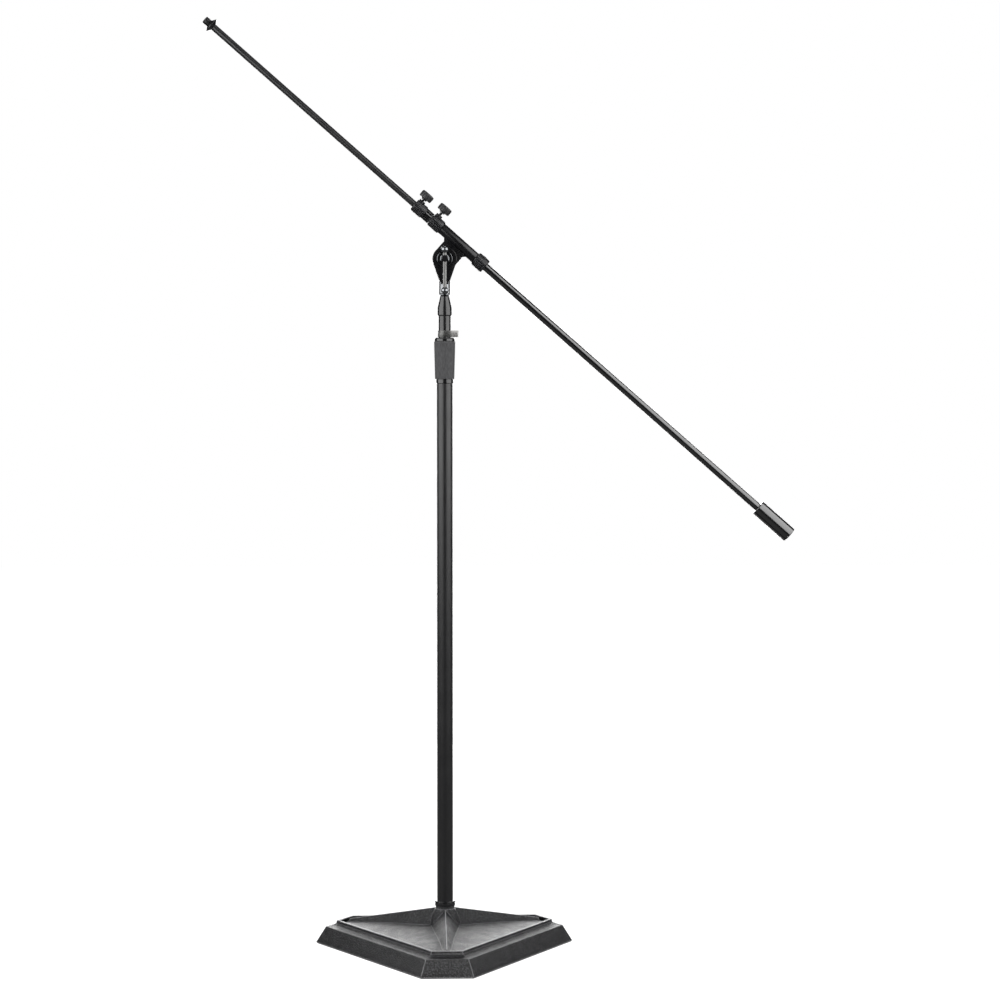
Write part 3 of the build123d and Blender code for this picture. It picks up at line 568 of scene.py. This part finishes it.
def thread(bm, crest, root, pitch, z0, z1, steps=36):
    """Add a closed helical ridge about Z from z0 to z1, in millimetres."""
    turns = (z1 - z0) / pitch - 1
    profile = [
        bm.verts.new((r / 1000, 0, (z0 + pitch * share) / 1000))
        for r, share in ((root - 0.1, 0.02), (crest, 0.42), (crest, 0.56), (root - 0.1, 0.96))
    ]
    loop = [bm.edges.new(pair) for pair in zip(profile, profile[1:] + profile[:1])]
    around = round(turns * steps)
    made = bmesh.ops.spin(
        bm,
        geom=profile + loop,
        cent=(0, 0, 0),
        axis=(0, 0, 1),
        dvec=(0, 0, pitch / 1000 / steps),
        angle=math.tau / steps * around,
        steps=around,
    )
    last = [part for part in made["geom_last"] if isinstance(part, bmesh.types.BMEdge)]
    bmesh.ops.contextual_create(bm, geom=loop)
    bmesh.ops.contextual_create(bm, geom=last)
    bmesh.ops.recalc_face_normals(bm, faces=bm.faces)
    return bm


# the 5/8 inch thread that microphone fittings share: 27 to the inch
crest, root, pitch = 7.93, 7.4, 25.4 / 27
stud = spun(
    [(0, stud_foot), (root, stud_foot), (root, stud_top - 0.9), (root - 0.8, stud_top), (0, stud_top)], 72
)
thread(stud, crest, root, pitch, stud_foot + 0.6, stud_top - 0.7)
fit(link_object("threaded_swivel_stud", stud), "upper_column", ["swivel_stud"], zinc, 0)

# chromium plate: a neutral mirror with the faintest polishing haze. It is set darker than true
# chrome, because the lamps are several times brighter than white and would flood it
chrome, tree, shader, place = new_material("polished_chrome_plate", "#6C6E70", 1.0, 0.05)
haze = uneven(tree, shader, place, 5.0, 0.03, 0.07)
relief(tree, shader, [(haze, 0.01, 0.3)])
rim, foot, top = turned_size("swivel_flange")
bore, flat, sheet = stud_radius + 0.05, rim - 2.56, 1.2
flange = spun(
    [
        (bore, top - sheet), (flat, top - sheet), (rim - 1.3, foot + 0.24), (rim, foot),
        (rim, foot + 0.74), (rim - 1.3, top - 0.6), (flat, top), (bore, top),
    ]
)
fit(link_object("swivel_flange_pressed", flange), "swivel", ["swivel_flange"], chrome, 0.15)
softened("swivel_barrel", "swivel", chrome, 0.5)

# ---------------------------------------------------------------------------
# Yoke: two die-cast cheeks riveted to the barrel's flats, a chromed washer with
# a raised rim under the clamp screw, and a plated nut behind.
# ---------------------------------------------------------------------------

# textured powder coat on die-cast zinc: deep black, with a finer grit than the base's, drawn
# about twice its true size, with painted highlights that lighten its sharp edges to grey and painted shade
# in its inner corners
coated_zinc, tree, shader, place = new_material("powder_coated_die_casting", "#09090A", 0.0, 0.3)
grit = speckle(tree, shader, place, 1.1, "#070708", "#111113")
uneven(tree, shader, place, 10.0, 0.22, 0.32)
relief(tree, shader, [(grit, 0.1, 0.8)])
# painted highlights on the sharp edges in #6C6C6F, and painted shade in the inner corners
painted_edge_highlights_and_corner_shade(tree, shader, 0.5, "#6C6C6F", 0.32)
softened("yoke_cheek_front", "swivel", coated_zinc, 0.5)
softened("yoke_cheek_back", "swivel", coated_zinc, 0.5)

joints = {joint["name"]: joint for joint in frame["joints"]}
pivot = Vector(joints["boom_tilt"]["pos_m"])
facing_front = Matrix.Translation((pivot.x, 0, pivot.z)) @ Matrix.Rotation(math.pi / 2, 4, "X")


def add_part(whole, part):
    """Move one separate solid into the bmesh that holds the whole piece."""
    carrier = bpy.data.meshes.new("carrier")
    part.to_mesh(carrier)
    part.free()
    whole.from_mesh(carrier)
    bpy.data.meshes.remove(carrier)


cheek_face = -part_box("yoke_cheek_front")[0].y * 1000
dome = [(0, 1.0), (1.8, 0.9), (3.4, 0.55), (4.25, 0.0), (2.5, 0.0)]
rivets = bmesh.new()
for drop in (31, 41):
    rivet = spun(
        [(radius, -cheek_face - rise) for radius, rise in dome]
        + [(radius, cheek_face + rise) for radius, rise in reversed(dome)],
        48,
    )
    bmesh.ops.translate(rivet, vec=(0, -drop / 1000, 0), verts=rivet.verts)
    bmesh.ops.transform(rivet, matrix=facing_front, verts=rivet.verts)
    add_part(rivets, rivet)
fit(link_object("domed_rivets", rivets), "swivel", ["yoke_rivets"], zinc, 0.15)

rim, foot, top = turned_size("pivot_washer", facing_front)
bore, dish = 5.3, top - 1.0
washer = spun(
    [
        (bore, foot), (rim, foot), (rim, top - 0.5), (rim - 0.5, top), (rim - 2.1, top),
        (rim - 2.6, top - 0.5), (rim - 2.6, dish), (bore + 3.7, dish), (bore + 3.3, top - 0.3),
        (bore + 2.6, top), (bore, top),
    ]
)
bmesh.ops.transform(washer, matrix=facing_front, verts=washer.verts)
fit(link_object("dished_washer", washer), "swivel", ["pivot_washer"], chrome, 0.2)
softened("clamp_nut", "swivel", zinc, 0.7)

# ---------------------------------------------------------------------------
# Clamp screw and tommy bar: a turned black screw with a cross hole, and a round
# plated bar that slides in it, kept in by a chromed ball on each end.
# ---------------------------------------------------------------------------

softened("clamp_screw", "clamp_screw", black_steel, 0.5)

beside_bar = Matrix.Translation((0, (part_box("tommy_bar")[0].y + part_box("tommy_bar")[1].y) / 2, 0))
ball_radius = 7.75
lowest, highest = turned_size("tommy_bar_balls", beside_bar)[1:]
low_ball, high_ball = lowest + ball_radius, highest - ball_radius
# satin nickel: drawn bar brushed lengthwise, set darker than true nickel as the chrome is
satin_nickel, tree, shader, place = new_material("satin_nickel_bar", "#5E5E5D", 1.0, 0.36)
lengthwise = add_node(tree, "ShaderNodeMapping", [("Scale", (1, 1, 0.03))], [("Vector", place)])
brushed = speckle(tree, shader, lengthwise.outputs[0], 0.5, "#535352", "#696968")
uneven(tree, shader, lengthwise.outputs[0], 1.2, 0.3, 0.42)
relief(tree, shader, [(brushed, 0.02, 0.5)])
bar_radius, foot, top = 4.1, low_ball + 0.3, high_ball - 0.3
bar = spun(
    [
        (0, foot), (bar_radius - 0.6, foot), (bar_radius, foot + 0.6),
        (bar_radius, top - 0.6), (bar_radius - 0.6, top), (0, top),
    ],
    64,
)
bmesh.ops.transform(bar, matrix=beside_bar, verts=bar.verts)
fit(link_object("sliding_bar", bar), "tommy_bar", ["tommy_bar"], satin_nickel, 0.2)

# each ball is turned from its outer end round to the flat that its bar enters
swing = [math.radians(4.5 * step) for step in range(35)]
balls = bmesh.new()
for middle, inward in ((low_ball, 1), (high_ball, -1)):
    arc = [
        (ball_radius * math.sin(turn), middle - inward * ball_radius * math.cos(turn)) for turn in swing
    ]
    ball = spun(arc + [(0, arc[-1][1])], 64)
    bmesh.ops.transform(ball, matrix=beside_bar, verts=ball.verts)
    add_part(balls, ball)
fit(link_object("chromed_balls", balls), "tommy_bar", ["tommy_bar_balls"], chrome, 0.25)

# ---------------------------------------------------------------------------
# Boom bracket: one die casting, a saddle tube for the boom on a fin that turns
# between the yoke's cheeks, with a hard nylon friction washer on each side.
# ---------------------------------------------------------------------------

softened("boom_bracket", "boom_head", coated_zinc, 0.9, 4, 35)

# glass-filled nylon: charcoal, dry to the eye
black_nylon, tree, shader, place = new_material("glass_filled_nylon", "#1D1D1E", 0.0, 0.6)
fibres = speckle(tree, shader, place, 0.8, "#181819", "#252526")
relief(tree, shader, [(fibres, 0.05, 0.6)])
softened("friction_washers", "boom_head", black_nylon, 0.3)

# ---------------------------------------------------------------------------
# Boom clamps: a ribbed die-cast collar on each end of the saddle and one on the
# outer tube's end, each pinched on its tube by a blackened thumbscrew.
# ---------------------------------------------------------------------------

softened("front_collar", "boom_head", coated_zinc, 0.45)
softened("rear_collar", "boom_head", coated_zinc, 0.45)
softened("inner_clamp", "outer_boom", coated_zinc, 0.45)

# moulded phenolic: dark grey, slightly chalky on its high spots
phenolic, tree, shader, place = new_material("moulded_phenolic", "#181819", 0.0, 0.42)
chalk = speckle(tree, shader, place, 1.3, "#131314", "#202021")
relief(tree, shader, [(chalk, 0.06, 0.7)])

along = Vector(joints["outer_boom_slide"]["axis"]).normalized()
away = Vector((along.z, 0, -along.x))
lift = (Vector(joints["front_thumbscrew_turn"]["pos_m"]) - pivot).dot(away)
boom_place = Matrix.Translation(pivot + away * lift) @ Matrix((away, (0, 1, 0), along)).transposed().to_4x4()


def lobed_knob():
    """A moulded knob about Z with its neck at Z 0: a rounded disc with eight finger hollows."""
    socket, socket_depth, rim, top = 3.0 + slip, 9.4, 14.0, 16.4
    lobes, hollow_depth, hollow_from, hollow_fade = 8, 1.3, 9.0, 3.0
    bm = spun(
        [
            (socket, 0.0), (5.6, 0.0), (6.0, 0.5), (6.2, 2.0), (rim - 2.4, 2.4), (rim - 0.8, 3.1),
            (rim - 0.1, 4.4), (rim, 6.5), (rim, top - 4.0), (rim - 0.2, top - 2.0),
            (rim - 1.0, top - 0.7), (rim - 2.6, top - 0.1), (8.2, top), (7.9, top - 0.3),
            (7.3, top - 0.3), (7.0, top), (0, top), (0, socket_depth), (socket, socket_depth),
        ],
        16 * lobes,
    )
    for vertex in bm.verts:
        reach = vertex.co.xy.length * 1000
        if reach > hollow_from:
            hollow = max(0.0, -math.cos(lobes * math.atan2(vertex.co.y, vertex.co.x))) ** 1.3
            fade = min(1.0, (reach - hollow_from) / hollow_fade)
            vertex.co.xy *= 1 - hollow_depth * hollow * fade / reach
    return bm


for name in ("front", "rear", "inner"):
    body = name + "_thumbscrew"
    joint = joints[body + "_turn"]
    axis = Vector(joint["axis"]).normalized()
    turned = Matrix((-along, axis.cross(-along), axis)).transposed().to_4x4()
    place = Matrix.Translation(joint["pos_m"]) @ turned
    knob_foot = turned_size(name + "_knob", place)[1]
    shank_foot = turned_size(name + "_screw", place)[1]
    knob = lobed_knob()
    bmesh.ops.translate(knob, vec=(0, 0, knob_foot / 1000), verts=knob.verts)
    bmesh.ops.transform(knob, matrix=place, verts=knob.verts)
    fit(link_object(name + "_lobed_knob", knob), body, [name + "_knob"], phenolic, 0.25)
    thread_core, neck_radius, neck = 2.6, 3.0, knob_foot + 1.0
    screw = spun(
        [
            (0, shank_foot), (2.2, shank_foot), (thread_core, shank_foot + 0.5),
            (thread_core, neck - 0.5), (neck_radius, neck), (neck_radius, knob_foot + 9.39),
            (0, knob_foot + 9.39),
        ],
        48,
    )
    thread(screw, 2.98, thread_core, 1.0, shank_foot + 0.4, knob_foot + 1.4, 24)
    bmesh.ops.transform(screw, matrix=place, verts=screw.verts)
    fit(link_object(name + "_thumbscrew_shank", screw), body, [name + "_screw"], black_steel, 0)

# ---------------------------------------------------------------------------
# Outer boom tube and counterweight: drawn steel tube in gloss black enamel, and
# a solid turned bar in the same enamel on a threaded plug in the tube's end.
# ---------------------------------------------------------------------------


def on_boom(bm):
    """Carry a piece that was made about Z into place on the boom."""
    bmesh.ops.transform(bm, matrix=boom_place, verts=bm.verts)
    return bm


# stoved enamel: deep gloss black that shows the lamps as clean bands with soft edges
enamel, tree, shader, place = new_material(
    "stoved_black_enamel", "#070708", 0.0, 0.2, Coat_Weight=1.0, Coat_Roughness=0.14
)
flow = uneven(tree, shader, place, 20.0, 0.17, 0.24)
relief(tree, shader, [(flow, 0.05, 0.4)])
boom_wall = 1.2
outer_radius, outer_end, outer_front = turned_size("outer_boom_tube", boom_place)
fit(
    link_object(
        "outer_boom", on_boom(tube(outer_radius, outer_radius - boom_wall, outer_end, outer_front, 72))
    ),
    "outer_boom", ["outer_boom_tube"], enamel, 0.25,
)
bulk, end, front = turned_size("counterweight", boom_place)
plug_end = turned_size("counterweight_plug", boom_place)[1]
chamfer, stud_bore = 1.0, 4.0
weight = spun(
    [
        (outer_radius + slip, front), (bulk - chamfer, front), (bulk, front - chamfer),
        (bulk, end + chamfer), (bulk - chamfer, end), (0, end), (0, plug_end),
        (stud_bore, plug_end), (stud_bore, outer_end), (outer_radius + slip, outer_end),
    ]
)
fit(
    link_object("turned_counterweight", on_boom(weight)),
    "outer_boom", ["counterweight"], enamel, 0.9,
)
softened("counterweight_plug", "outer_boom", zinc, 0.3)

# ---------------------------------------------------------------------------
# Inner boom tube and tip: a slimmer satin black tube guided by a nylon bush, with
# a turned ferrule whose sharp flange stops the microphone clip, and its thread.
# ---------------------------------------------------------------------------

# satin black coat on the slimmer tube: softer than the enamel, rubbed along by the bush
satin_coat, tree, shader, place = new_material("satin_black_coat", "#151516", 0.0, 0.3)
rub = speckle(tree, shader, place, 6.0, "#121213", "#1C1C1D")
uneven(tree, shader, place, 25.0, 0.27, 0.35)
relief(tree, shader, [(rub, 0.03, 0.5)])
inner_radius, inner_end, inner_front = turned_size("inner_boom_tube", boom_place)
inner_bore = inner_radius - boom_wall
fit(
    link_object("inner_boom", on_boom(tube(inner_radius, inner_bore, inner_end, inner_front, 72))),
    "inner_boom", ["inner_boom_tube"], satin_coat, 0.25,
)
softened("inner_bush", "inner_boom", nylon, 0.3)
spigot = 4.0
tip_foot, tip_end = turned_size("tip_stud", boom_place)[1:]
rim, foot, top = turned_size("tip_ferrule", boom_place)
ferrule = spun(
    [
        (spigot + slip, tip_foot), (spigot + slip, top), (8.4, top), (9.0, top - 0.6),
        (rim - 0.2, top - 4.8), (rim, top - 5.1), (rim, top - 5.9), (rim - 0.3, top - 6.2),
        (inner_radius + 0.6, inner_front), (inner_bore - slip, inner_front), (inner_bore - slip, foot),
        (0, foot), (0, tip_foot),
    ]
)
fit(
    link_object("tip_ferrule_turned", on_boom(ferrule)),
    "inner_boom", ["tip_ferrule"], black_steel, 0.2,
)
tip = spun(
    [
        (0, tip_foot), (spigot, tip_foot), (spigot, top), (root, top), (root, tip_end - 0.9),
        (root - 0.7, tip_end), (4.6, tip_end), (4.2, tip_end - 0.6), (0, tip_end - 0.6),
    ],
    72,
)
thread(tip, crest, root, pitch, top + 0.2, tip_end - 0.3)
fit(link_object("threaded_tip", on_boom(tip)), "inner_boom", ["tip_stud"], black_steel, 0)
